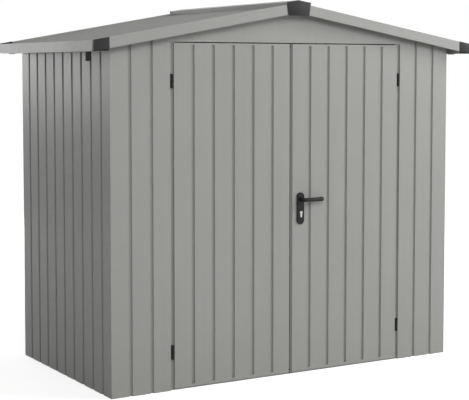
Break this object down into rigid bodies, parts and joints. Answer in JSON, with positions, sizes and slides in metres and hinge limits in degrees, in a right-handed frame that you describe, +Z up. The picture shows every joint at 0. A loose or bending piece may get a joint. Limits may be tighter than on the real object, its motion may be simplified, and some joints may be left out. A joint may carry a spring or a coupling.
{
  "type": "metal tool shed",
  "caption": "Grey coated sheet-steel garden tool shed with pressed wall grooves, a low gable roof with gutters, a hinged double door and a sprung lever handle.",
  "frame": {"origin": "ground level, in the middle of the footprint", "axes": "+X along the width to the right seen from the front, the doors face -Y, +Z up"},
  "size_m": [2.375, 1.328, 2.0204],
  "materials": {
    "coated_sheet": "satin",
    "coated_roof": "satin",
    "zinc_framing": "zinc coated",
    "black_plastic": "matt",
    "black_hardware": "satin",
    "nickel": "satin"
  },
  "bodies": {
    "shed": {"front_wall_left": "coated_sheet", "front_wall_right": "coated_sheet", "front_gable": "coated_sheet", "left_wall": "coated_sheet", "right_wall": "coated_sheet", "back_wall": "coated_sheet", "front_fascia_left": "coated_sheet", "front_fascia_right": "coated_sheet", "back_fascia_left": "coated_sheet", "back_fascia_right": "coated_sheet", "gutter_left": "coated_sheet", "gutter_right": "coated_sheet", "ridge_cap": "coated_sheet", "door_posts": "coated_sheet", "door_header": "coated_sheet", "roof_sheet_left": "coated_roof", "roof_sheet_right": "coated_roof", "threshold": "zinc_framing", "back_base_rail": "zinc_framing", "side_base_rails": "zinc_framing", "corner_posts": "zinc_framing", "eave_rails": "zinc_framing", "ridge_beam": "zinc_framing", "purlins": "zinc_framing", "front_gutter_caps": "black_plastic", "back_gutter_caps": "black_plastic", "front_peak_cap": "black_plastic", "back_peak_cap": "black_plastic", "gutter_spouts": "black_plastic", "outlet_plugs": "black_plastic", "left_post_hinges": "black_hardware", "right_post_hinges": "black_hardware"},
    "left_door": {"left_door_sheet": "coated_sheet", "left_door_frame": "zinc_framing", "left_door_hinges": "black_hardware"},
    "right_door": {"right_door_sheet": "coated_sheet", "right_door_frame": "zinc_framing", "right_door_hinges": "black_hardware", "lock_case": "zinc_framing", "outer_plate": "black_hardware", "inner_plate": "black_hardware", "lock_cylinder": "nickel"},
    "lever": {"outer_lever": "black_hardware", "inner_lever": "black_hardware", "lever_spindle": "zinc_framing"}
  },
  "joints": [
    {"name": "left_door_swing", "type": "hinge", "parent": "shed", "child": "left_door", "pos_m": [-0.72, -0.587, 0.9], "axis": [0, 0, -1], "range_deg": [0, 110]},
    {"name": "right_door_swing", "type": "hinge", "parent": "shed", "child": "right_door", "pos_m": [0.72, -0.587, 0.9], "axis": [0, 0, 1], "range_deg": [0, 110]},
    {"name": "lever_turn", "type": "hinge", "parent": "right_door", "child": "lever", "pos_m": [0.06, -0.588, 0.952], "axis": [0, 1, 0], "range_deg": [0, 40], "stiffness_Nm_per_rad": 1.6, "springref_deg": -34.38}
  ]
}
